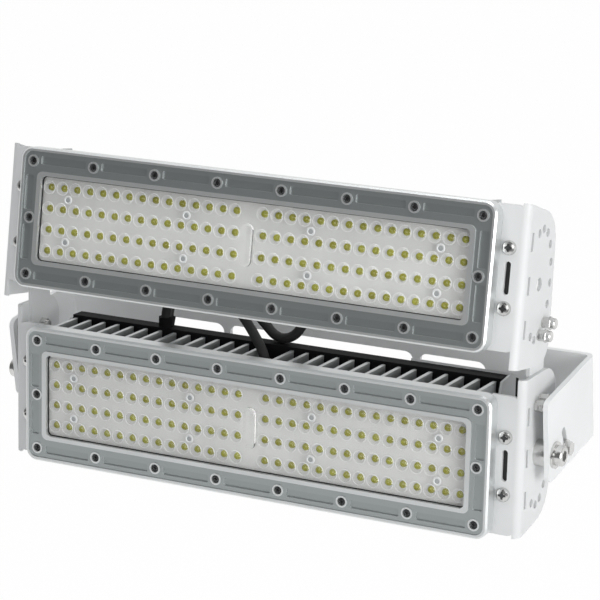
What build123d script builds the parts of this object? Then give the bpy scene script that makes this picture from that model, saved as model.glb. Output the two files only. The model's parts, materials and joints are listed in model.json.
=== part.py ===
from build123d import *
import math
import os

# Twin module LED floodlight head on a U-shaped yoke. All sizes are in millimetres.
# X is to the right as seen from the front, Y is to the back and Z is up.
# The origin is on the yoke's rear face, in the middle of its lower strip.

# Yoke: one flat strip bent twice into a U, bolted by its back to a wall or a crossarm
yoke_half_width = 240.0
yoke_depth = 100.0
yoke_height = 68.0
yoke_bottom = -10.0
yoke_sheet = 4.0
yoke_bend = 3.0
arm_corner = 6.0
window_height = 28.0
centre_window_half = 84.0
side_window_end = 148.0
window_web = 6.0
window_corner = 7.0
mount_hole_x = 190.0
mount_hole_r = 5.5

# Head: both modules tilt up from the yoke, and the upper one a little more
lower_tilt = 9.5
upper_tilt = 17.2
pivot_y = -88.0
pivot_z = 10.0
upper_back = -11.4
upper_rise = 149.3
swing_down = 40.0
swing_up = 14.0

# Light module, measured from the middle of its LED grid. Depth grows to the back.
frame_half_x = 206.0
frame_half_z = 56.5
frame_corner = 10.0
frame_edge = 1.4
frame_front = -8.0
frame_back = 4.0
window_half_x = 186.3
window_half_z = 34.2
lip_back = -5.0
cavity_half_x = 190.0
cavity_half_z = 38.0
rim_width = 3.2
window_rim = (4.0, 3.4)
band_depth = 1.0
pocket_depth = 2.6
pocket_size = (41.5, 6.4)
pocket_shift = 0.9
end_pocket_size = (7.6, 28.0)
end_pocket_spot = (197.4, 20.0)
pocket_corner = 1.2
screw_pitch = 55.7
screw_columns = 8
screw_row_z = 45.5
screw_side_x = 195.3
boss_r = 4.8
boss_rise = 0.8
screw_bore_r = 3.4
screw_bore_depth = 3.2

gasket_play = 0.4
gasket_lap = 0.6
lens_play = 0.5
lens_front = -3.8
lens_back = -1.4
plug_size = (34.0, 11.0)
plug_rise = 3.0
plug_round = 2.5
led_columns = 15
led_rows = 4
column_pitch = 12.0
row_pitch = 17.03
middle_gap = 24.3
dome_r = 5.3
dome_rise = 2.6
board_play = 1.5
board_back = 1.6
base_play = (1.5, 1.0)
base_back = 8.0
pad_half_x = 188.0
pad_half_z = 36.5
fin_pitch = 13.4
fins_each_side = 14
fin_thick = 3.2
fin_half_z = 56.0
fin_back = 42.0
end_rib_x = (190.5, 198.5)
end_rib_half_z = 50.0
end_rib_back = 17.0
lug_end_x = 219.0
lug_half_z = 8.0

# Side plates: sheet bent into a front flange and a slotted, drilled cheek
side_sheet = 3.0
side_outer_x = 226.0
side_bend = 3.0
flange_front = 8.0
flange_inner_x = 199.5
flange_half_z = 55.0
flange_screw_x = 212.0
flange_screw_z = 22.7
flange_corner = 11.0
flange_hole_r = 3.2
flange_slot = (25.0, 4.6)
free_end_z = -57.0
free_corner = (64.0, -47.0)
free_corner_r = 28.0
link_end_z = 68.0
link_corner = (73.0, 68.0)
link_corner_r = 20.0
cheek_hub = (39.5, 5.0)
hole_ring = (22.0, 42.0)
hole_r = 3.3
hub_hole_r = 5.2
hole_step = 22.5
side_slot = (4.0, 14.0)
side_slot_y = 18.0
side_slot_step = 33.0

# Link plates and bolts
link_sheet = 3.0
link_width = 28.5
link_front = 23.5
link_low = 35.0
link_high = 117.0
link_corner_round = 6.0
link_washer_r = 4.3
link_flats = 8.0
link_head = 4.0
link_nut = 5.2
pivot_r = 5.0
pivot_head_r = 8.0
pivot_head_end = 8.0
pivot_socket = 8.0
pivot_nut_flats = 16.0
pivot_nut = 8.0
pivot_play = 0.1
lock_r = 3.0
lock_slot_r = 3.4
lock_washer_r = 6.5
lock_flats = 10.0
lock_collar_r = 5.5
bolt_tail = 2.0
spacer_r = 10.5
paint = 0.05

# Power supply behind the lower module, and its leads
supply_half_x = 192.0
supply_front = 43.5
supply_ridge = 57.0
supply_back = 80.0
supply_top = 57.0
supply_fall = 8.0
supply_bottom = -6.0
supply_edge = 6.0
bracket_sheet = 2.0
bracket_low = 10.0
bracket_arm_z = 44.0
tab_start_x = 110.0
tab_depth = 12.0
lead_r = 4.0
gland_r = 6.0
gland_length = 8.0
lower_gland_y = 24.0
lower_block_z = (4.0, 16.0)
lower_block_half = 8.0
box_gland_x = -107.0
slope_gland_x = -118.0
arc_share = 0.45


def box(x0, x1, y0, y1, z0, z1):
    middle = ((x0 + x1) / 2, (y0 + y1) / 2, (z0 + z1) / 2)
    return Pos(*middle) * Box(x1 - x0, y1 - y0, z1 - z0)


def slab(sketch, y0, y1):
    """Extrude a sketch drawn in X and Z from depth y0 to depth y1."""
    face = Pos(0, y0, 0) * Rot(90, 0, 0) * sketch
    return extrude(face, amount=y1 - y0, dir=(0, 1, 0))


def cheek_slab(outline, x0, x1):
    """Extrude an outline drawn in depth and height across X."""
    plane = Plane(origin=(x0, 0, 0), x_dir=(0, 1, 0), z_dir=(1, 0, 0))
    return extrude(plane * outline, amount=x1 - x0)


def rod_x(x0, x1, y, z, r):
    return Pos((x0 + x1) / 2, y, z) * Rot(0, 90, 0) * Cylinder(r, abs(x1 - x0))


def rod_y(x, y0, y1, z, r):
    return Pos(x, (y0 + y1) / 2, z) * Rot(90, 0, 0) * Cylinder(r, abs(y1 - y0))


def hex_x(x0, x1, y, z, flats):
    plane = Plane(origin=(x0, y, z), x_dir=(0, 1, 0), z_dir=(1, 0, 0))
    six = RegularPolygon(flats / 2, 6, major_radius=False, rotation=30)
    return extrude(plane * six, amount=x1 - x0)


def mirror_x(shape):
    return mirror(shape, about=Plane.YZ)


def flip_z(shape):
    return mirror(shape, about=Plane.XY)


def save(name, shape):
    shape.label = name
    export_step(shape, f"parts/{name}.step")


# Places of the two modules, worked out from the pivot
low = math.radians(lower_tilt)
hub_y, hub_z = cheek_hub
lower_y = pivot_y - hub_y * math.cos(low) - hub_z * math.sin(low)
lower_z = pivot_z + hub_y * math.sin(low) - hub_z * math.cos(low)
lower_place = Pos(0, lower_y, lower_z) * Rot(-lower_tilt, 0, 0)
upper_place = lower_place * Pos(0, upper_back, upper_rise) * Rot(lower_tilt - upper_tilt, 0, 0)


# Yoke bracket: the strip with its windows, mounting holes, pivot holes and lock slots
def yoke():
    half = yoke_half_width
    outer = Pos(0, -yoke_depth / 2) * Rectangle(2 * half, yoke_depth)
    back_corners = outer.vertices().group_by(Axis.Y)[-1]
    outer = fillet(back_corners, yoke_bend + yoke_sheet)
    inner_depth = yoke_depth + 10 - yoke_sheet
    inner = Pos(0, -yoke_sheet - inner_depth / 2) * Rectangle(2 * (half - yoke_sheet), inner_depth)
    inner = fillet(inner.vertices().group_by(Axis.Y)[-1], yoke_bend)
    strip = Pos(0, 0, yoke_bottom) * extrude(outer - inner, amount=yoke_height)
    arm_tips = strip.edges().filter_by(Axis.X).group_by(Axis.Y)[0]
    strip = fillet(arm_tips, arm_corner)

    middle = yoke_bottom + yoke_height / 2
    windows = RectangleRounded(2 * centre_window_half, window_height, window_corner)
    side_start = centre_window_half + window_web
    for side in (-1, 1):
        centre = side * (side_start + side_window_end) / 2
        windows += Pos(centre, 0) * RectangleRounded(
            side_window_end - side_start, window_height, window_corner
        )
        windows += Pos(side * mount_hole_x, 0) * Circle(mount_hole_r)
    strip -= Pos(0, 0, middle) * slab(windows, -yoke_sheet - 1, 1)

    # The lock slot is an arc about the pivot, as long as the head's swing
    slot_r = hole_ring[0]
    first = -lower_tilt - swing_up
    last = -lower_tilt + swing_down
    arc = CenterArc((0, 0), slot_r, first, last - first)
    slot = SlotArc(arc, 2 * lock_slot_r)
    cuts = slot + Circle(pivot_r + pivot_play)
    strip -= Pos(0, pivot_y, pivot_z) * cheek_slab(cuts, -half - 1, half + 1)
    return strip


# Front frame: a die cast rim with sunken pockets between its screw bosses
def front_frame():
    rim = RectangleRounded(2 * frame_half_x, 2 * frame_half_z, frame_corner)
    frame = slab(rim, frame_front, frame_back)
    frame = chamfer(frame.faces().sort_by(Axis.Y)[0].outer_wire().edges(), frame_edge)
    frame -= slab(RectangleRounded(2 * window_half_x, 2 * window_half_z, 4), frame_front - 1, 0)
    frame -= slab(RectangleRounded(2 * cavity_half_x, 2 * cavity_half_z, 5), lip_back, frame_back + 1)

    channel = RectangleRounded(2 * (frame_half_x - rim_width), 2 * (frame_half_z - rim_width), 7)
    channel -= RectangleRounded(
        2 * (window_half_x + window_rim[0]), 2 * (window_half_z + window_rim[1]), 5
    )
    frame -= slab(channel, frame_front - 1, frame_front + band_depth)

    # Long pockets lie between the screws of each row, short ones at the two ends
    screw_x = [screw_pitch * (i - (screw_columns - 1) / 2) for i in range(screw_columns)]
    pockets = Sketch()
    for start in screw_x[:-1]:
        for side in (-1, 1):
            pockets += Pos(start + screw_pitch / 2, side * (screw_row_z + pocket_shift)) * (
                RectangleRounded(*pocket_size, pocket_corner)
            )
    for side in (-1, 1):
        for end in (-1, 1):
            pockets += Pos(side * end_pocket_spot[0], end * end_pocket_spot[1]) * (
                RectangleRounded(*end_pocket_size, pocket_corner)
            )
    frame -= slab(pockets, frame_front - 1, frame_front + pocket_depth)

    places = [(x, side * screw_row_z) for x in screw_x for side in (-1, 1)]
    places += [(-screw_side_x, 0), (screw_side_x, 0)]
    floor = frame_front + band_depth
    for x, z in places:
        frame += rod_y(x, floor - boss_rise, floor + 1, z, boss_r)
    for x, z in places:
        frame -= rod_y(x, frame_front - 1, frame_front + screw_bore_depth, z, screw_bore_r)
    return frame


# Gasket: a flat rubber ring pressed between the frame's lip and the lens plate
def gasket():
    ring = RectangleRounded(2 * (cavity_half_x - gasket_play), 2 * (cavity_half_z - gasket_play), 4.5)
    ring -= RectangleRounded(2 * (window_half_x - gasket_lap), 2 * (window_half_z - gasket_lap), 3.5)
    return slab(ring, lip_back + paint, lens_front - paint)


# Lens plate: one clear moulding with a round dome over each LED, and an upright dome
# over the lead plug in the middle
def lens_plate():
    sheet = RectangleRounded(2 * (cavity_half_x - lens_play), 2 * (cavity_half_z - lens_play), 4.5)
    plate = slab(sheet, lens_front, lens_back)
    plug_dome = slab(SlotOverall(*plug_size, rotation=90), lens_front - plug_rise, lens_front + 0.5)
    plug_dome = fillet(plug_dome.faces().sort_by(Axis.Y)[0].edges(), plug_round)

    ball_r = (dome_r**2 + dome_rise**2) / (2 * dome_rise)
    ball = Pos(0, lens_front - dome_rise + ball_r, 0) * Sphere(ball_r)
    reach = dome_r + 1
    dome = ball & box(-reach, reach, lens_front - reach, lens_front + 0.3, -reach, reach)
    domes = []
    for side in (-1, 1):
        for i in range(led_columns):
            x = side * (middle_gap / 2 + i * column_pitch)
            domes += [Pos(x, 0, (k - (led_rows - 1) / 2) * row_pitch) * dome for k in range(led_rows)]
    return plate + plug_dome + domes


# Circuit board: a white aluminium board that lies flat on the heat sink
def circuit_board():
    board = RectangleRounded(2 * (cavity_half_x - board_play), 2 * (cavity_half_z - board_play), 3)
    return slab(board, 0, board_back - paint)


# Heat sink: base plate, upright fins with round tips, and end lugs for the side plates
def heat_sink():
    sink = slab(
        RectangleRounded(
            2 * (frame_half_x - base_play[0]), 2 * (frame_half_z - base_play[1]), frame_corner - 1
        ),
        frame_back + paint,
        base_back,
    )
    sink += box(-pad_half_x, pad_half_x, board_back, base_back - 1, -pad_half_z, pad_half_z)
    fin = Rectangle(fin_thick, fin_back - base_back + 1, align=(Align.CENTER, Align.MIN))
    fin = fillet(fin.vertices().group_by(Axis.Y)[-1], fin_thick / 2 - 0.1)
    fin = Pos(0, base_back - 1, -fin_half_z + 1) * extrude(fin, amount=2 * fin_half_z - 2)
    for i in range(1, fins_each_side + 1):
        for side in (-1, 1):
            sink += Pos(side * i * fin_pitch, 0, 0) * fin
    for side in (-1, 1):
        rib = box(*end_rib_x, base_back - 1, end_rib_back, -end_rib_half_z, end_rib_half_z)
        for end in (-1, 1):
            z = end * flange_screw_z
            rib += box(end_rib_x[1] - 0.5, lug_end_x, flange_front + side_sheet + paint, end_rib_back,
                       z - lug_half_z, z + lug_half_z)
        sink += rib if side > 0 else mirror_x(rib)
    return sink


# Side plate of a module whose linked end points up. The other one is its mirror image.
def side_plate():
    x1 = side_outer_x
    y0 = flange_front
    reach = 84.0
    outer = Polyline((flange_inner_x, y0), (x1, y0), (x1, y0 + reach), (x1 - side_sheet, y0 + reach),
                     (x1 - side_sheet, y0 + side_sheet), (flange_inner_x, y0 + side_sheet), close=True)
    section = make_face(outer)
    bend_out = section.vertices().sort_by_distance((x1, y0, 0))[0]
    section = fillet(bend_out, side_bend + side_sheet)
    bend_in = section.vertices().sort_by_distance((x1 - side_sheet, y0 + side_sheet, 0))[0]
    section = fillet(bend_in, side_bend)
    plate = Pos(0, 0, -80) * extrude(section, amount=160)

    # The cheek narrows to its free end and has a round corner at the linked end
    corners = [(y0 - 1, free_end_z), free_corner, link_corner, (y0 - 1, link_end_z)]
    cheek = make_face(Polyline(*corners, close=True))
    cheek = fillet(cheek.vertices().sort_by_distance((*free_corner, 0))[0], free_corner_r)
    cheek = fillet(cheek.vertices().sort_by_distance((*link_corner, 0))[0], link_corner_r)
    keep = cheek_slab(cheek, x1 - side_sheet - side_bend, x1 + 1)
    flange = Pos((flange_inner_x + x1) / 2, 0) * RectangleRounded(
        x1 - flange_inner_x, 2 * flange_half_z, flange_corner
    )
    square = Pos(flange_inner_x, 0) * Rectangle(
        flange_corner + 1, 2 * flange_half_z, align=(Align.MIN, Align.CENTER)
    )
    keep += slab(flange + square, y0 - 1, y0 + side_sheet + 0.5)
    plate = plate & keep

    # Upright slots near the bend, the hub hole, and a row of small holes round the hub
    cuts = Sketch() + Pos(hub_y, hub_z) * Circle(hub_hole_r)
    for k in (-1, 0, 1):
        cuts += Pos(side_slot_y, hub_z + side_slot_step * k) * Rectangle(*side_slot)
    for k in range(-5, 6):
        turn = math.radians(k * hole_step)
        spot = (hub_y + hole_ring[0] * math.cos(turn), hub_z + hole_ring[1] * math.sin(turn))
        cuts += Pos(*spot) * Circle(hole_r)
    plate -= cheek_slab(cuts, x1 - side_sheet - 1, x1 + 1)
    front_cuts = Sketch() + Pos(flange_screw_x, 0) * SlotOverall(*flange_slot, rotation=90)
    for end in (-1, 1):
        front_cuts += Pos(flange_screw_x, end * flange_screw_z) * Circle(flange_hole_r)
    plate -= slab(front_cuts, y0 - 1, y0 + side_sheet + 1)
    return plate


def ring_spot(k, flipped=False):
    """Depth and height of small hole number k of a cheek, in its own module."""
    turn = math.radians(k * hole_step)
    y = hub_y + hole_ring[0] * math.cos(turn)
    z = hub_z + hole_ring[1] * math.sin(turn)
    return (y, -z) if flipped else (y, z)


def upper_to_lower(y, z):
    """A point of the upper module, in the lower module's own depth and height."""
    lean = math.radians(upper_tilt - lower_tilt)
    return (
        upper_back + y * math.cos(lean) + z * math.sin(lean),
        upper_rise - y * math.sin(lean) + z * math.cos(lean),
    )


link_spots = [ring_spot(4), ring_spot(5)]
link_spots += [upper_to_lower(*ring_spot(k, True)) for k in (2, 3)]


# Link plate: a flat strip inside the cheeks that ties the two modules together
def link_plate():
    x1 = side_outer_x - side_sheet - paint
    strip = Pos(link_front + link_width / 2, (link_low + link_high) / 2) * RectangleRounded(
        link_width, link_high - link_low, link_corner_round
    )
    for y, z in link_spots:
        strip -= Pos(y, z) * Circle(hole_r)
    return cheek_slab(strip, x1 - link_sheet, x1)


# Link bolts: four hexagon bolts on each side, heads outside and nuts inside
def link_bolts():
    bolts = Part()
    inside = side_outer_x - side_sheet - link_sheet - 2 * paint
    for y, z in link_spots:
        bolt = rod_x(inside - link_nut - bolt_tail, side_outer_x + 1, y, z, lock_r)
        bolt += rod_x(side_outer_x + paint, side_outer_x + 1.2, y, z, link_washer_r)
        bolt += hex_x(side_outer_x + 1, side_outer_x + 1 + link_head, y, z, link_flats)
        bolt += hex_x(inside - link_nut, inside, y, z, link_flats)
        bolts += bolt
    return bolts


# Pivot bolt, its spacer, and the lock bolt that runs in the yoke's slot
def pivot_bolt():
    arm_out = yoke_half_width + paint
    inside = side_outer_x - side_sheet - paint
    bolt = rod_x(inside - pivot_nut - bolt_tail, arm_out + 1, hub_y, hub_z, pivot_r)
    bolt += rod_x(arm_out, arm_out + 2, hub_y, hub_z, spacer_r)
    head = rod_x(arm_out + 1.5, arm_out + pivot_head_end, hub_y, hub_z, pivot_head_r)
    head = chamfer(head.faces().sort_by(Axis.X)[-1].edges(), 0.8)
    socket_floor = arm_out + pivot_head_end / 2
    bolt += head - hex_x(socket_floor, arm_out + pivot_head_end + 1, hub_y, hub_z, pivot_socket)
    bolt += hex_x(inside - pivot_nut, inside, hub_y, hub_z, pivot_nut_flats)
    return bolt


def pivot_spacer():
    ring = Circle(spacer_r) - Circle(pivot_r + paint)
    x0 = side_outer_x + paint
    x1 = yoke_half_width - yoke_sheet - paint
    return cheek_slab(Pos(hub_y, hub_z) * ring, x0, x1)


def lock_bolt():
    y, z = ring_spot(0)
    arm_out = yoke_half_width + paint
    inside = side_outer_x - side_sheet - paint
    bolt = rod_x(inside - link_nut - bolt_tail, arm_out + 1, y, z, lock_r)
    bolt += rod_x(arm_out, arm_out + 1.6, y, z, lock_washer_r)
    bolt += hex_x(arm_out + 1.5, arm_out + 1.5 + link_head, y, z, lock_flats)
    bolt += rod_x(side_outer_x + paint, yoke_half_width - yoke_sheet - paint, y, z, lock_collar_r)
    bolt += hex_x(inside - link_nut, inside, y, z, lock_flats)
    return bolt


slope = supply_fall / (supply_back - supply_ridge)


# Power supply: a long black housing behind the lower fins. Its top falls away to the back.
def supply_box():
    corners = [(supply_front, supply_bottom), (supply_back - supply_edge, supply_bottom),
               (supply_back, supply_bottom + supply_edge), (supply_back, supply_top - supply_fall),
               (supply_ridge, supply_top), (supply_front, supply_top)]
    section = make_face(Polyline(*corners, close=True))
    return cheek_slab(section, -supply_half_x, supply_half_x)


# Supply bracket: a sheet end plate, which the housing is screwed to
def supply_bracket():
    x0 = supply_half_x + paint
    foot = end_rib_back + paint
    back = supply_ridge + tab_depth
    corners = [(foot, bracket_low), (back, bracket_low), (back, supply_top - tab_depth * slope),
               (supply_ridge, supply_top), (supply_front - 1.5, supply_top - 2),
               (supply_front - 5.5, bracket_arm_z), (foot, bracket_arm_z)]
    return cheek_slab(make_face(Polyline(*corners, close=True)), x0, x0 + bracket_sheet)


# The right-hand end plate has a long tab that is bent over the housing's sloped top
def supply_bracket_tab():
    fall = tab_depth * slope
    x1 = supply_half_x + paint + bracket_sheet
    tab = Part()
    for x0, low in ((tab_start_x, supply_top + paint), (supply_half_x + paint, supply_top - 1)):
        top = supply_top + paint + bracket_sheet
        corners = [(supply_ridge, low), (supply_ridge + tab_depth, low - fall),
                   (supply_ridge + tab_depth, top - fall), (supply_ridge, top)]
        tab += cheek_slab(make_face(Polyline(*corners, close=True)), x0, x1)
    return tab


# A gland is a short sleeve that grips a lead where it goes into a housing
def gland(foot, direction, length):
    seat = Plane(origin=foot, z_dir=direction)
    return extrude(seat * (Circle(gland_r) - Circle(lead_r + paint)), amount=length)


# The lower module's gland points up from a small block in the middle gap of its fins
def lower_gland():
    block = box(-lower_block_half, lower_block_half, base_back + paint, lower_gland_y + gland_r + 1,
                *lower_block_z)
    return block + gland((0, lower_gland_y, lower_block_z[1]), (0, 0, 1), gland_length + 5)


# A lead is a round cord along straight runs joined by tangent arcs. Each arc takes up
# the same share of the shorter run beside it.
def lead(points):
    corners = [Vector(*point) for point in points]
    radii = []
    for before, corner, after in zip(corners, corners[1:], corners[2:]):
        turn = math.radians((corner - before).get_angle(after - corner))
        shorter = min((corner - before).length, (after - corner).length)
        radii.append(arc_share * shorter / math.tan(turn / 2))
    path = FilletPolyline(*corners, radius=radii)
    cord = sweep(path.location_at(0) * Circle(lead_r), path=path)
    error = cord.volume / (math.pi * lead_r**2 * path.length) - 1
    print(f"lead {path.length:.1f} mm long, tightest arc {min(radii):.1f} mm, volume error {error:.5f}")
    return cord


# Routes of the two leads, in the lower module's own right, depth and height.
# The lower one climbs out of the fins, goes left behind the upper module, and drops to
# the housing. The upper one hangs in a loop on the housing before it does the same.
slope_up = Vector(0, slope, 1).normalized()
slope_way = 14.0
slope_spot = Vector(slope_gland_x, supply_ridge + slope_way, supply_top - slope_way * slope)
lower_route = [
    (0, lower_gland_y, lower_block_z[1] + 2),
    (0, lower_gland_y, 50),
    (-21, 33, 73),
    (-48, 42, 95),
    (-82, 47, 98),
    (-102, 50, 84),
    (box_gland_x, 50, 70),
    (box_gland_x, 50, supply_top + 1),
]
upper_route = [
    (0, *upper_to_lower(base_back + 3, 0)),
    (0, *upper_to_lower(58, 0)),
    (22, 58, 117),
    (27, 54, 92),
    (4, 50, 52.5),
    (-42, 62, 87),
    (-72, 72, 98),
    tuple(slope_spot + slope_up * 50),
    tuple(slope_spot + slope_up),
]


# Build everything and set it in place
os.makedirs("parts", exist_ok=True)
save("yoke_bracket", yoke())

frame_shape = front_frame()
gasket_shape = gasket()
lens_shape = lens_plate()
board_shape = circuit_board()
sink_shape = heat_sink()
right_cheek = side_plate()

for name, place, link_up in (("lower", lower_place, True), ("upper", upper_place, False)):
    cheek_shape = right_cheek if link_up else flip_z(right_cheek)
    save(f"{name}_front_frame", place * frame_shape)
    save(f"{name}_gasket", place * gasket_shape)
    save(f"{name}_lens_plate", place * lens_shape)
    save(f"{name}_circuit_board", place * board_shape)
    save(f"{name}_heat_sink", place * sink_shape)
    save(f"{name}_side_plate_right", place * cheek_shape)
    save(f"{name}_side_plate_left", place * mirror_x(cheek_shape))

for name, shape in (
    ("link_plate", link_plate()),
    ("link_bolts", link_bolts()),
    ("pivot_bolt", pivot_bolt()),
    ("pivot_spacer", pivot_spacer()),
    ("lock_bolt", lock_bolt()),
):
    save(f"{name}_right", lower_place * shape)
    save(f"{name}_left", lower_place * mirror_x(shape))

end_plate = supply_bracket()
save("supply_box", lower_place * supply_box())
save("supply_bracket_right", lower_place * (end_plate + supply_bracket_tab()))
save("supply_bracket_left", lower_place * mirror_x(end_plate))

upper_gland = gland((0, base_back + paint, 0), (0, 1, 0), gland_length + 5)
box_gland = gland((box_gland_x, 50, supply_top + paint), (0, 0, 1), gland_length)
slope_gland = gland(tuple(slope_spot + slope_up * paint), tuple(slope_up), gland_length)
save("lower_gland", lower_place * lower_gland())
save("upper_gland", upper_place * upper_gland)
save("supply_glands", lower_place * (box_gland + slope_gland))
save("lower_lead", lower_place * lead(lower_route))
save("upper_lead", lower_place * lead(upper_route))
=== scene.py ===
import bpy
import bmesh
import json
import math
from mathutils import Matrix, Vector


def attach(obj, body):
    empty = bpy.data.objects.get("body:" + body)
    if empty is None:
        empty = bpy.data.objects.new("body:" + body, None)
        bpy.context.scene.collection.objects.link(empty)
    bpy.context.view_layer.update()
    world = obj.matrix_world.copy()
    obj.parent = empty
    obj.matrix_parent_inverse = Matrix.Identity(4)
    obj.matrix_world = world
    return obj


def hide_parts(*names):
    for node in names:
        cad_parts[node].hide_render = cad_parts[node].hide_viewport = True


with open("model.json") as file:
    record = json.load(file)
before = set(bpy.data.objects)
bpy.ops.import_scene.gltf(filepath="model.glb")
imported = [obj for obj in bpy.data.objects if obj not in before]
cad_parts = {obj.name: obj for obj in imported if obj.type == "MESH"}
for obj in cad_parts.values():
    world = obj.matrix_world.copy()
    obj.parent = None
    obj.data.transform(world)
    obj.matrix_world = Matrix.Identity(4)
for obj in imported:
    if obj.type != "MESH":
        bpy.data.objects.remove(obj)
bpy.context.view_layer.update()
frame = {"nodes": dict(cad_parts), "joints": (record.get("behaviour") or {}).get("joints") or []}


# Camera: it stands in front of the floodlight, to its right and a little above it.
# The long lens and the small lean to one side are those of the photograph.
eye = Vector((0.9166, -1.7623, 0.8796))
aim = Vector((0.0266, -0.0849, 0.1071))
lean = math.radians(-3.23)

camera_data = bpy.data.cameras.new("camera")
camera_data.lens = 156.82
camera_data.sensor_width = 36.0
camera = bpy.data.objects.new("camera", camera_data)
bpy.context.collection.objects.link(camera)
camera.matrix_world = (
    Matrix.Translation(eye)
    @ (aim - eye).to_track_quat("-Z", "Y").to_matrix().to_4x4()
    @ Matrix.Rotation(lean, 4, "Z")
)
bpy.context.scene.camera = camera


# Studio: a pale floor well below the floodlight, white all round, and three soft boxes.
# The main one hangs close on the right, so the right-hand sides are the lightest.
def light_box(name, place, size, power):
    data = bpy.data.lights.new(name, "AREA")
    data.shape = "RECTANGLE"
    data.size, data.size_y = size
    data.energy = power
    lamp = bpy.data.objects.new(name, data)
    lamp.location = place
    lamp.rotation_euler = (aim - Vector(place)).to_track_quat("-Z", "Y").to_euler()
    bpy.context.collection.objects.link(lamp)


light_box("right_light", place=(1.45, -0.75, 0.3), size=(0.8, 0.8), power=11.5)
light_box("top_light", place=(0.1, -0.2, 1.9), size=(1.4, 1.0), power=13)
light_box("front_light", place=(0.7, -1.9, 1.0), size=(0.9, 0.9), power=5)


def work_out(tree, operation, one, other):
    """The result of a Math node on two values, each a socket or a plain number."""
    node = tree.nodes.new("ShaderNodeMath")
    node.operation = operation
    for spot, value in enumerate((one, other)):
        if isinstance(value, bpy.types.NodeSocket):
            tree.links.new(value, node.inputs[spot])
        else:
            node.inputs[spot].default_value = value
    return node.outputs[0]


def sees_backdrop(tree):
    """1 for the rays that see the white surroundings: camera, mirror and glass rays."""
    path = tree.nodes.new("ShaderNodeLightPath")
    straight = work_out(tree, "MAXIMUM", path.outputs["Is Camera Ray"], path.outputs["Is Glossy Ray"])
    return work_out(tree, "MAXIMUM", straight, path.outputs["Is Transmission Ray"])


world = bpy.data.worlds.new("studio")
world.use_nodes = True
bpy.context.scene.world = world
world_tree = world.node_tree
world_tree.nodes.clear()
room = world_tree.nodes.new("ShaderNodeBackground")
room.inputs["Color"].default_value = (0.97, 0.98, 1.0, 1.0)
room.inputs["Strength"].default_value = 0.42
white = world_tree.nodes.new("ShaderNodeBackground")
white.inputs["Color"].default_value = (1.0, 1.0, 1.0, 1.0)
white.inputs["Strength"].default_value = 1.0

# The backdrop behind the floodlight is bright in gloss too. The room in front of it is dim.
view_path = world_tree.nodes.new("ShaderNodeLightPath")
way = world_tree.nodes.new("ShaderNodeTexCoord")
way_parts = world_tree.nodes.new("ShaderNodeSeparateXYZ")
world_tree.links.new(way.outputs["Generated"], way_parts.inputs[0])
front_dim = world_tree.nodes.new("ShaderNodeMapRange")
front_dim.inputs["From Min"].default_value = -0.55
front_dim.inputs["From Max"].default_value = 0.15
front_dim.inputs["To Min"].default_value = 0.15
front_dim.inputs["To Max"].default_value = 0.85
world_tree.links.new(way_parts.outputs["Y"], front_dim.inputs["Value"])
seen = work_out(world_tree, "MAXIMUM", view_path.outputs["Is Camera Ray"], front_dim.outputs["Result"])
world_tree.links.new(seen, white.inputs["Strength"])
choose = world_tree.nodes.new("ShaderNodeMixShader")
world_out = world_tree.nodes.new("ShaderNodeOutputWorld")
world_tree.links.new(sees_backdrop(world_tree), choose.inputs[0])
world_tree.links.new(room.outputs[0], choose.inputs[1])
world_tree.links.new(white.outputs[0], choose.inputs[2])
world_tree.links.new(choose.outputs[0], world_out.inputs["Surface"])

# The floor glows for the same rays, so its far edge doesn't show against the backdrop.
floor_half = 6.0
floor_z = -0.6
floor_glow = 0.985
corners = [(floor_half * x, floor_half * y, floor_z) for x, y in ((-1, -1), (1, -1), (1, 1), (-1, 1))]
floor_mesh = bpy.data.meshes.new("floor")
floor_mesh.from_pydata(corners, [], [(0, 1, 2, 3)])
floor = bpy.data.objects.new("floor", floor_mesh)
bpy.context.collection.objects.link(floor)
floor_paint = bpy.data.materials.new("floor_paint")
floor_paint.use_nodes = True
floor_tree = floor_paint.node_tree
floor_tree.nodes.clear()
matt = floor_tree.nodes.new("ShaderNodeBsdfDiffuse")
matt.inputs["Color"].default_value = (0.9, 0.9, 0.9, 1.0)
glow = floor_tree.nodes.new("ShaderNodeEmission")
floor_mix = floor_tree.nodes.new("ShaderNodeMixShader")
floor_out = floor_tree.nodes.new("ShaderNodeOutputMaterial")
glow_share = work_out(floor_tree, "MULTIPLY", sees_backdrop(floor_tree), floor_glow)
floor_tree.links.new(glow_share, floor_mix.inputs[0])
floor_tree.links.new(matt.outputs[0], floor_mix.inputs[1])
floor_tree.links.new(glow.outputs[0], floor_mix.inputs[2])
floor_tree.links.new(floor_mix.outputs[0], floor_out.inputs["Surface"])
floor_mesh.materials.append(floor_paint)
bpy.context.scene.view_settings.view_transform = "Standard"


# Yoke: one steel strip bent into a U, with windows to save weight, and sprayed white.
# Its back bolts to the wall or crossarm, and the head turns between its two arms.
mm = 0.001
sides = ("right", "left")
levels = ("lower", "upper")


def noise_group(name, detail):
    """Speckle in the piece's own coordinates: a soft tone and a height for bumps."""
    group = bpy.data.node_groups.new(name, "ShaderNodeTree")
    for label in ("Grain Size", "Patch Size"):
        group.interface.new_socket(label, in_out="INPUT", socket_type="NodeSocketFloat")
    for label in ("Height", "Tone"):
        group.interface.new_socket(label, in_out="OUTPUT", socket_type="NodeSocketFloat")
    given = group.nodes.new("NodeGroupInput")
    result = group.nodes.new("NodeGroupOutput")
    place = group.nodes.new("ShaderNodeTexCoord")
    for size, output, roughness in (("Grain Size", "Height", 0.6), ("Patch Size", "Tone", 0.5)):
        noise = group.nodes.new("ShaderNodeTexNoise")
        noise.inputs["Detail"].default_value = detail
        noise.inputs["Roughness"].default_value = roughness
        group.links.new(place.outputs["Object"], noise.inputs["Vector"])
        group.links.new(work_out(group, "DIVIDE", 1.0, given.outputs[size]), noise.inputs["Scale"])
        group.links.new(noise.outputs["Fac"], result.inputs[output])
    return group


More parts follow.
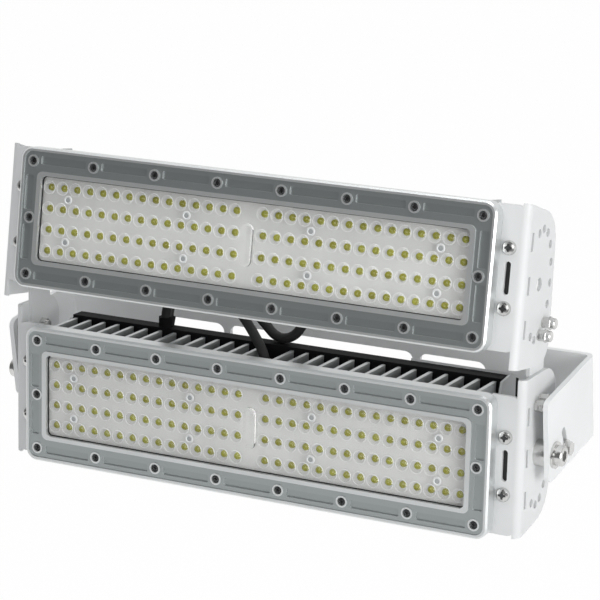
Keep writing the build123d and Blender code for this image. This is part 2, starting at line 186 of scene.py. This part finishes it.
grain = noise_group("coat_grain", detail=3.0)


def finish(name, dark, light, rough, grain_mm, patch_mm, bump, metal=0.0):
    """A finish whose colour drifts between two tones, with grain in its roughness and height."""
    material = bpy.data.materials.new(name)
    material.use_nodes = True
    tree = material.node_tree
    shader = tree.nodes["Principled BSDF"]
    shader.inputs["Metallic"].default_value = metal
    speckle = tree.nodes.new("ShaderNodeGroup")
    speckle.node_tree = grain
    speckle.inputs["Grain Size"].default_value = grain_mm * mm
    speckle.inputs["Patch Size"].default_value = patch_mm * mm
    ramp = tree.nodes.new("ShaderNodeValToRGB")
    for stop, position, tone in zip(ramp.color_ramp.elements, (0.3, 0.7), (dark, light)):
        stop.position = position
        stop.color = (*tone, 1.0)
    tree.links.new(speckle.outputs["Tone"], ramp.inputs["Fac"])
    tree.links.new(ramp.outputs["Color"], shader.inputs["Base Color"])
    spread = tree.nodes.new("ShaderNodeMapRange")
    spread.inputs["To Min"].default_value, spread.inputs["To Max"].default_value = rough
    tree.links.new(speckle.outputs["Height"], spread.inputs["Value"])
    tree.links.new(spread.outputs["Result"], shader.inputs["Roughness"])
    relief = tree.nodes.new("ShaderNodeBump")
    relief.inputs["Strength"].default_value = bump
    relief.inputs["Distance"].default_value = 0.1 * mm
    tree.links.new(speckle.outputs["Height"], relief.inputs["Height"])
    tree.links.new(relief.outputs["Normal"], shader.inputs["Normal"])
    return material


def coat(material, *nodes):
    """Puts a finish on CAD nodes."""
    for name in nodes:
        node = frame["nodes"][name]
        node.data.materials.clear()
        node.data.materials.append(material)


# Painted light: the yoke's white is the side plates' white coat made lighter, to make up for the shade the
# modules cast on it.
yoke_painted_light_coat = finish(
    "yoke_painted_light_coat", (0.83, 0.84, 0.84), (0.87, 0.88, 0.88),
    rough=(0.38, 0.5), grain_mm=0.9, patch_mm=60, bump=0.25)
coat(yoke_painted_light_coat, "yoke_bracket")


# Power supply: a long near-black housing behind the lower module, with black nylon glands.
# A white sheet bracket at each end holds it between the side plates.
# Partly painted shade: the housing's near black also stands for the deep shade behind the lower fins.
black_housing = finish(
    "black_housing", (0.005, 0.005, 0.006), (0.009, 0.009, 0.010),
    rough=(0.6, 0.75), grain_mm=0.8, patch_mm=40, bump=0.3)
black_housing.node_tree.nodes["Principled BSDF"].inputs["Specular IOR Level"].default_value = 0.1
coat(black_housing, "supply_box", "lower_gland", "upper_gland", "supply_glands")
white_coat = finish(
    "white_coat", (0.72, 0.73, 0.73), (0.77, 0.78, 0.78),
    rough=(0.38, 0.5), grain_mm=0.9, patch_mm=60, bump=0.25)
coat(white_coat, *(f"supply_bracket_{side}" for side in sides))


# Heat sinks: die cast aluminium with tall fins, sprayed a silvery grey like the frames.
# Board, lens plate, gasket and frame are stacked on the flat front of each.
grey_coat = finish(
    "grey_coat", (0.60, 0.62, 0.62), (0.66, 0.68, 0.68),
    rough=(0.30, 0.42), grain_mm=0.9, patch_mm=50, bump=0.25, metal=0.6)
coat(grey_coat, *(f"{level}_heat_sink" for level in levels))

# Places in a module are measured from the middle of its LEDs: right, back into it and up.
# Both modules are set from the tilt axis, as their cheeks are drilled.
hub = Vector((0.0, 39.5, 5.0)) * mm
axis = Vector(frame["joints"][0]["pos_m"])
lower_tilt = math.radians(9.5)
upper_tilt = math.radians(17.2)
upper_step = Vector((0.0, -11.4, 149.3)) * mm
lower_set = Matrix.Translation(axis) @ Matrix.Rotation(-lower_tilt, 4, "X") @ Matrix.Translation(-hub)
upper_set = lower_set @ Matrix.Translation(upper_step) @ Matrix.Rotation(lower_tilt - upper_tilt, 4, "X")
module_sets = {"lower": lower_set, "upper": upper_set}


# Upper heat sink: the same casting, with its fins' upper ends cut back at a slant.
# So no fin shows above the frame's top edge when the light is seen from the front.
base_back = 8.0 * mm
fin_reach_x = 189.0 * mm
fin_slant = math.tan(math.radians(7.0))
weld = 0.001 * mm
whole = bmesh.new()
whole.from_mesh(frame["nodes"]["upper_heat_sink"].data)
bmesh.ops.remove_doubles(whole, verts=whole.verts, dist=weld)
to_module = upper_set.inverted()
for vertex in whole.verts:
    spot = to_module @ vertex.co
    if spot.z > 0 and spot.y > base_back and abs(spot.x) < fin_reach_x:
        spot.z -= (spot.y - base_back) * fin_slant
        vertex.co = upper_set @ spot
sink_mesh = bpy.data.meshes.new("upper_slanted_sink")
whole.to_mesh(sink_mesh)
whole.free()
sink_mesh.shade_smooth()
sink_mesh.set_sharp_from_angle(angle=math.radians(30))
sink_mesh.materials.clear()
sink_mesh.materials.append(grey_coat)
slanted_sink = bpy.data.objects.new("upper_slanted_sink", sink_mesh)
bpy.context.collection.objects.link(slanted_sink)
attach(slanted_sink, "head")
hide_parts("upper_heat_sink")


# Circuit boards: white aluminium boards with rows of LED chips soldered on.
# Each chip is a small white package with a round yellow phosphor spot.
board_white = finish(
    "board_white", (0.74, 0.75, 0.74), (0.81, 0.82, 0.81),
    rough=(0.45, 0.6), grain_mm=1.5, patch_mm=30, bump=0.1)
coat(board_white, *(f"{level}_circuit_board" for level in levels))


def spread_tree():
    """Stands one copy of a piece on each point, turned by one angle, as one plain mesh."""
    tree = bpy.data.node_groups.new("spread_pieces", "GeometryNodeTree")
    tree.interface.new_socket("Geometry", in_out="OUTPUT", socket_type="NodeSocketGeometry")
    tree.interface.new_socket("Geometry", in_out="INPUT", socket_type="NodeSocketGeometry")
    tree.interface.new_socket("Piece", in_out="INPUT", socket_type="NodeSocketObject")
    tree.interface.new_socket("Turn", in_out="INPUT", socket_type="NodeSocketVector")
    tree.interface.new_socket("Finish", in_out="INPUT", socket_type="NodeSocketMaterial")
    given = tree.nodes.new("NodeGroupInput")
    result = tree.nodes.new("NodeGroupOutput")
    piece = tree.nodes.new("GeometryNodeObjectInfo")
    piece.transform_space = "ORIGINAL"
    stand = tree.nodes.new("GeometryNodeInstanceOnPoints")
    real = tree.nodes.new("GeometryNodeRealizeInstances")
    paint = tree.nodes.new("GeometryNodeSetMaterial")
    tree.links.new(given.outputs["Piece"], piece.inputs["Object"])
    tree.links.new(given.outputs["Geometry"], stand.inputs["Points"])
    tree.links.new(piece.outputs["Geometry"], stand.inputs["Instance"])
    tree.links.new(given.outputs["Turn"], stand.inputs["Rotation"])
    tree.links.new(stand.outputs["Instances"], real.inputs["Geometry"])
    tree.links.new(real.outputs["Geometry"], paint.inputs["Geometry"])
    tree.links.new(given.outputs["Finish"], paint.inputs["Material"])
    tree.links.new(paint.outputs["Geometry"], result.inputs["Geometry"])
    return tree


spread = spread_tree()


def turned(name, profile, steps):
    """A turned piece about Z. The profile is its (radius, height) points in mm, which start
    and end on the axis, or come back to their start to make a ring."""
    shape = bmesh.new()
    circles = {}
    for r, z in profile:
        if r == 0:
            circles[r, z] = [shape.verts.new((0, 0, z * mm))]
        elif (r, z) not in circles:
            angles = [2 * math.pi * i / steps for i in range(steps)]
            circles[r, z] = [
                shape.verts.new((r * mm * math.cos(a), r * mm * math.sin(a), z * mm)) for a in angles]
    for start, end in zip(profile, profile[1:]):
        one, two = circles[start], circles[end]
        for i in range(steps):
            j = (i + 1) % steps
            if len(one) == 1:
                shape.faces.new((one[0], two[i], two[j]))
            elif len(two) == 1:
                shape.faces.new((one[i], two[0], one[j]))
            else:
                shape.faces.new((one[i], two[i], two[j], one[j]))
    bmesh.ops.recalc_face_normals(shape, faces=shape.faces)
    mesh = bpy.data.meshes.new(name)
    shape.to_mesh(mesh)
    shape.free()
    return bpy.data.objects.new(name, mesh)


def lay_out(name, piece, places, turn, material, module, smooth=40):
    """Copies of a piece at places in a module, as one mesh that rides on the head."""
    dots = bpy.data.meshes.new(name + "_places")
    dots.from_pydata(places, [], [])
    holder = bpy.data.objects.new(name, dots)
    bpy.context.collection.objects.link(holder)
    grow = holder.modifiers.new("spread", "NODES")
    grow.node_group = spread
    keys = {item.name: item.identifier for item in spread.interface.items_tree if item.in_out == "INPUT"}
    grow[keys["Piece"]] = piece
    grow[keys["Turn"]] = turn
    grow[keys["Finish"]] = material
    ready = holder.evaluated_get(bpy.context.evaluated_depsgraph_get())
    mesh = bpy.data.meshes.new_from_object(ready)
    holder.modifiers.remove(grow)
    holder.data = mesh
    mesh.name = name
    mesh.transform(module)
    mesh.shade_smooth()
    mesh.set_sharp_from_angle(angle=math.radians(smooth))
    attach(holder, "head")


to_front = (math.radians(90), 0.0, 0.0)

led_columns = 15
led_rows = 4
column_pitch = 12.0 * mm
row_pitch = 17.03 * mm
middle_gap = 24.3 * mm
led_x = [side * (middle_gap / 2 + column_pitch * i) for side in (-1, 1) for i in range(led_columns)]
led_z = [row_pitch * (k - (led_rows - 1) / 2) for k in range(led_rows)]
chips = [(x, 0.0, z) for x in led_x for z in led_z]

package_white = finish(
    "package_white", (0.72, 0.72, 0.70), (0.78, 0.78, 0.76),
    rough=(0.35, 0.45), grain_mm=0.5, patch_mm=15, bump=0.05)
phosphor = finish(
    "phosphor", (0.31, 0.30, 0.025), (0.40, 0.41, 0.045),
    rough=(0.4, 0.55), grain_mm=0.4, patch_mm=20, bump=0.1)
package = turned("chip_package", [(0, 0), (2.3625, 0), (2.3625, 0.6), (0, 0.6)], steps=4)
spot = turned("phosphor_spot", [(0, 0.5), (2.0, 0.5), (1.9, 0.95), (1.2, 1.35), (0, 1.5)], steps=16)
for level, place in module_sets.items():
    lay_out(f"{level}_led_packages", package, chips, to_front, package_white, place)
    lay_out(f"{level}_led_phosphor", spot, chips, to_front, phosphor, place)


# Lens plates: clear moulded plastic, with a low round dome over each LED and an upright
# one over the lead plug. They are clamped between the gasket and the board.
def clear_plastic(name, tint, rough):
    """Clear plastic that lets light straight through to what it covers."""
    material = bpy.data.materials.new(name)
    material.use_nodes = True
    tree = material.node_tree
    shader = tree.nodes["Principled BSDF"]
    shader.inputs["Base Color"].default_value = (*tint, 1.0)
    shader.inputs["Roughness"].default_value = rough
    shader.inputs["IOR"].default_value = 1.49
    shader.inputs["Transmission Weight"].default_value = 1.0
    path = tree.nodes.new("ShaderNodeLightPath")
    hole = tree.nodes.new("ShaderNodeBsdfTransparent")
    hole.inputs["Color"].default_value = (*tint, 1.0)
    mix = tree.nodes.new("ShaderNodeMixShader")
    tree.links.new(path.outputs["Is Shadow Ray"], mix.inputs[0])
    tree.links.new(shader.outputs[0], mix.inputs[1])
    tree.links.new(hole.outputs[0], mix.inputs[2])
    tree.links.new(mix.outputs[0], tree.nodes["Material Output"].inputs["Surface"])
    return material


plate_clear = clear_plastic("plate_clear", tint=(0.955, 0.955, 0.95), rough=0.08)
coat(plate_clear, *(f"{level}_lens_plate" for level in levels))

# A rim is moulded round the foot of each dome. Its pale colour is a painted highlight, for the ring of light
# the dome throws round its foot.
foot_painted_highlight = finish(
    "foot_painted_highlight", (0.80, 0.81, 0.81), (0.86, 0.87, 0.87),
    rough=(0.45, 0.6), grain_mm=0.4, patch_mm=12, bump=0.05)
foot = turned("lens_foot", [(5.0, 0), (5.5, 0), (5.4, 0.5), (5.1, 0.5), (5.0, 0)], steps=18)
plate_front = -3.8 * mm
feet = [(x, plate_front, z) for x in led_x for z in led_z]
for level, place in module_sets.items():
    lay_out(f"{level}_lens_feet", foot, feet, to_front, foot_painted_highlight, place, smooth=30)


# Lens plate pins: pale moulded buttons that hold each plate down on its board.
# Each is a round collar with a dished middle, pressed in between the LED rows.
pin_collar = finish(
    "pin_collar", (0.74, 0.75, 0.75), (0.80, 0.81, 0.81),
    rough=(0.25, 0.4), grain_mm=0.4, patch_mm=10, bump=0.1)
pin_middle = finish(
    "pin_middle", (0.36, 0.38, 0.38), (0.42, 0.44, 0.44),
    rough=(0.35, 0.5), grain_mm=0.4, patch_mm=10, bump=0.1)
collar = turned("pin_collar", [
    (1.98, 0), (3.6, 0), (3.6, 0.45), (3.168, 0.9), (2.52, 0.9), (1.98, 0.36), (1.98, 0)], steps=20)
button = turned("pin_button", [(0, 0), (1.98, 0), (1.98, 0.405), (1.08, 0.558), (0, 0.612)], steps=20)
pin_columns = (2.5, 11.5)
pin_x = [side * (middle_gap / 2 + column_pitch * (led_columns - n)) for side in (-1, 1) for n in pin_columns]
pins = [(x, plate_front, side * row_pitch) for x in pin_x for side in (-1, 1)]
for level, place in module_sets.items():
    lay_out(f"{level}_pin_collars", collar, pins, to_front, pin_collar, place)
    lay_out(f"{level}_pin_middles", button, pins, to_front, pin_middle, place)


# Gaskets: flat rings cut from black rubber, laid round the edge of each lens plate.
# The frames press them down and so keep the water out.
black_rubber = finish(
    "black_rubber", (0.014, 0.014, 0.014), (0.022, 0.022, 0.022),
    rough=(0.55, 0.75), grain_mm=0.6, patch_mm=20, bump=0.2)
coat(black_rubber, *(f"{level}_gasket" for level in levels))


# Front frames: die cast aluminium rims, sprayed grey, held down by dark screws in bosses.
# The floors of the channel and its pockets are painted a darker grey than the rims, as painted shade.
def recess_shade_group():
    """1 on the floors that face straight out and lie deeper than the rim, by two depths, where shade is
    painted.
    """
    group = bpy.data.node_groups.new("painted_recess_shade", "ShaderNodeTree")
    for label in ("Facing", "Rim"):
        group.interface.new_socket(label, in_out="INPUT", socket_type="NodeSocketVector")
    for label in ("Channel Depth", "Pocket Depth"):
        group.interface.new_socket(label, in_out="INPUT", socket_type="NodeSocketFloat")
    for label in ("Channel", "Pocket"):
        group.interface.new_socket(label, in_out="OUTPUT", socket_type="NodeSocketFloat")
    given = group.nodes.new("NodeGroupInput")
    result = group.nodes.new("NodeGroupOutput")
    place = group.nodes.new("ShaderNodeTexCoord")
    below = group.nodes.new("ShaderNodeVectorMath")
    below.operation = "SUBTRACT"
    group.links.new(given.outputs["Rim"], below.inputs[0])
    group.links.new(place.outputs["Object"], below.inputs[1])
    along = []
    for vector in (below.outputs[0], place.outputs["Normal"]):
        dot = group.nodes.new("ShaderNodeVectorMath")
        dot.operation = "DOT_PRODUCT"
        group.links.new(vector, dot.inputs[0])
        group.links.new(given.outputs["Facing"], dot.inputs[1])
        along.append(dot.outputs["Value"])
    depth, square_on = along
    faces_out = work_out(group, "GREATER_THAN", square_on, 0.9)
    for name in ("Channel", "Pocket"):
        deep = work_out(group, "GREATER_THAN", depth, given.outputs[f"{name} Depth"])
        group.links.new(work_out(group, "MULTIPLY", deep, faces_out), result.inputs[name])
    return group


painted_recess_shade = recess_shade_group()
frame_front = -8.0 * mm
channel_depth = 0.6 * mm
pocket_depth = 2.0 * mm
channel_painted_shade = (0.40, 0.43, 0.43, 1.0)
pocket_painted_shade = (0.37, 0.40, 0.40, 1.0)
for level, place in module_sets.items():
    frame_coat = finish(
        f"{level}_frame_coat", (0.70, 0.72, 0.72), (0.76, 0.78, 0.78),
        rough=(0.28, 0.4), grain_mm=0.9, patch_mm=50, bump=0.25, metal=0.8)
    tree = frame_coat.node_tree
    shader = tree.nodes["Principled BSDF"]
    floors = tree.nodes.new("ShaderNodeGroup")
    floors.node_tree = painted_recess_shade
    floors.inputs["Facing"].default_value = place.to_3x3() @ Vector((0.0, -1.0, 0.0))
    floors.inputs["Rim"].default_value = place @ Vector((0.0, frame_front, 0.0))
    floors.inputs["Channel Depth"].default_value = channel_depth
    floors.inputs["Pocket Depth"].default_value = pocket_depth
    tone = shader.inputs["Base Color"].links[0].from_socket
    # Painted shade: the channel and pocket floors are mixed to darker greys than the rim.
    for name, colour in (("Channel", channel_painted_shade), ("Pocket", pocket_painted_shade)):
        blend = tree.nodes.new("ShaderNodeMix")
        blend.data_type = "RGBA"
        blend.inputs["B"].default_value = colour
        tree.links.new(floors.outputs[name], blend.inputs["Factor"])
        tree.links.new(tone, blend.inputs["A"])
        tone = blend.outputs["Result"]
    tree.links.new(tone, shader.inputs["Base Color"])
    coat(frame_coat, f"{level}_front_frame")


def screw_head(name, r, high, recess_r, recess_wide, recess_deep):
    """A domed screw head with a cross recess that is wide in the middle. Sizes are in mm."""
    head = turned(name, [
        (0, 0), (r, 0), (r, high * 0.35), (r * 0.86, high * 0.78), (r * 0.55, high * 0.98), (0, high),
    ], steps=24)
    bpy.context.collection.objects.link(head)
    star = bmesh.new()
    for turn, reach in ((0, recess_r), (90, recess_r), (45, 0.6 * recess_r), (135, 0.6 * recess_r)):
        bar = bmesh.ops.create_cube(star, size=1.0)
        bmesh.ops.transform(
            star,
            matrix=Matrix.Rotation(math.radians(turn), 4, "Z")
            @ Matrix.Translation((0, 0, high * mm))
            @ Matrix.Diagonal((2 * reach * mm, recess_wide * mm, 2 * recess_deep * mm, 1)),
            verts=bar["verts"],
        )
    cutter = bpy.data.meshes.new(name + "_star")
    star.to_mesh(cutter)
    star.free()
    knife = bpy.data.objects.new(name + "_star", cutter)
    bpy.context.collection.objects.link(knife)
    cut = head.modifiers.new("recess", "BOOLEAN")
    cut.object = knife
    cut.operation = "DIFFERENCE"
    cut.use_self = True
    ready = head.evaluated_get(bpy.context.evaluated_depsgraph_get())
    mesh = bpy.data.meshes.new_from_object(ready)
    head.modifiers.remove(cut)
    head.data = mesh
    bpy.data.objects.remove(knife)
    bpy.context.collection.objects.unlink(head)
    return head


black_steel_and_painted_shade = finish(
    "black_steel_and_painted_shade", (0.07, 0.07, 0.072), (0.12, 0.12, 0.124),
    rough=(0.3, 0.45), grain_mm=0.4, patch_mm=8, bump=0.15, metal=0.9)
frame_screw = screw_head("frame_screw", r=3.1, high=1.7, recess_r=1.9, recess_wide=0.8, recess_deep=1.2)
screw_pitch = 55.7 * mm
screw_columns = 8
screw_row = 45.5 * mm
screw_end = 195.3 * mm
bore_floor = frame_front + 3.2 * mm
screw_spots = [
    (screw_pitch * (i - (screw_columns - 1) / 2), bore_floor, side * screw_row)
    for i in range(screw_columns) for side in (-1, 1)
]
screw_spots += [(side * screw_end, bore_floor, 0.0) for side in (-1, 1)]
for level, place in module_sets.items():
    lay_out(f"{level}_frame_screws", frame_screw, screw_spots, to_front, black_steel_and_painted_shade, place)


# Side plates: sheet steel with a bent front flange, sprayed white like the brackets.
# Two zinc plated pan head screws hold each flange to the lugs of its heat sink. A black
# disc sits at the floor of each cross recess, as painted shade.
for level in levels:
    coat(white_coat, *(f"{level}_side_plate_{side}" for side in sides))
zinc_steel = finish(
    "zinc_steel", (0.58, 0.58, 0.57), (0.70, 0.70, 0.69),
    rough=(0.16, 0.3), grain_mm=0.5, patch_mm=10, bump=0.15, metal=1.0)
flange_screw = screw_head("flange_screw", r=5.6, high=3.4, recess_r=3.1, recess_wide=1.7, recess_deep=1.9)
# Painted shade: a black disc at the floor of each cross recess.
recess_floor = turned("recess_floor", [(0, 1.6), (3.0, 1.6), (3.0, 2.3), (0, 2.3)], steps=12)
flange_front = 8.0 * mm
flange_screw_x = 212.0 * mm
flange_screw_z = 22.7 * mm
flange_spots = [(x * flange_screw_x, flange_front, z * flange_screw_z) for x in (-1, 1) for z in (-1, 1)]
for level, place in module_sets.items():
    lay_out(f"{level}_flange_screws", flange_screw, flange_spots, to_front, zinc_steel, place)
    lay_out(f"{level}_recess_floors", recess_floor, flange_spots, to_front, black_steel_and_painted_shade, place)


# Slot shade: black sheets that close the flanges' slots as painted shade, so the slots read dark.
# Each is cut with round corners and lies on the back of its flange.
pad_half_x = 5.0 * mm
pad_half_z = 13.8 * mm
pad_thick = 1.6 * mm
pad_round = 1.5 * mm
pad_shape = bmesh.new()
pad_rims = []
for depth in (0.0, -pad_thick):
    rim = []
    for turn in range(0, 360, 15):
        across, up = math.cos(math.radians(turn)), math.sin(math.radians(turn))
        rim.append(pad_shape.verts.new((
            math.copysign(pad_half_x - pad_round, across) + pad_round * across,
            math.copysign(pad_half_z - pad_round, up) + pad_round * up,
            depth)))
    pad_shape.faces.new(rim)
    pad_rims.append(rim)
front_rim, back_rim = pad_rims
for i in range(len(front_rim)):
    pad_shape.faces.new((front_rim[i - 1], front_rim[i], back_rim[i], back_rim[i - 1]))
bmesh.ops.recalc_face_normals(pad_shape, faces=pad_shape.faces)
pad_mesh = bpy.data.meshes.new("slot_pad")
pad_shape.to_mesh(pad_mesh)
pad_shape.free()
slot_pad = bpy.data.objects.new("slot_pad", pad_mesh)
flange_back = flange_front + 3.05 * mm
pad_spots = [(side * flange_screw_x, flange_back, 0.0) for side in (-1, 1)]
# Painted shade: these black sheets make the flange slots read dark.
for level, place in module_sets.items():
    lay_out(f"{level}_slot_pads", slot_pad, pad_spots, to_front, black_rubber, place)


# Links: flat steel strips inside the cheeks, sprayed white, that tie the modules together.
# The head hangs in the yoke on two pivot bolts, and two lock bolts in slots hold its tilt.
for side in sides:
    coat(white_coat, f"link_plate_{side}")
    coat(zinc_steel, f"link_bolts_{side}", f"pivot_bolt_{side}", f"pivot_spacer_{side}", f"lock_bolt_{side}")


# Link bolt ends: a thin zinc plated nut and a rounded end stand out from each link bolt.
# The bolts pass through the cheeks' small holes, which lie on an oval round the hub.
link_nut = turned("link_nut", [
    (0, -0.3), (4.9, -0.3), (5.1, 0.3), (5.1, 1.8), (4.7, 2.2), (0, 2.2)], steps=6)
link_end = turned("link_end", [(0, 0), (4.3, 0), (4.3, 4.8), (3.6, 5.6), (0, 5.6)], steps=20)
link_out = 231.0 * mm
oval_deep = 22.0 * mm
oval_high = 42.0 * mm
hole_step = math.radians(22.5)
link_holes = {"lower": (4, 5), "upper": (2, 3)}
upright = {"lower": 1, "upper": -1}
outwards = {"right": 1, "left": -1}
for level, holes in link_holes.items():
    for side, way_out in outwards.items():
        spots = [(
            way_out * link_out,
            hub.y + oval_deep * math.cos(hole * hole_step),
            upright[level] * (hub.z + oval_high * math.sin(hole * hole_step)),
        ) for hole in holes]
        turn = (0.0, way_out * math.radians(90), 0.0)
        lay_out(f"{level}_link_nuts_{side}", link_nut, spots, turn, zinc_steel, module_sets[level])
        lay_out(f"{level}_link_ends_{side}", link_end, spots, turn, zinc_steel, module_sets[level])


# Leads: round black rubber cable, one from the back of each module to the power supply.
# A gland grips each end, and the upper lead hangs in a loop on top of the housing.
coat(black_rubber, *(f"{level}_lead" for level in levels))
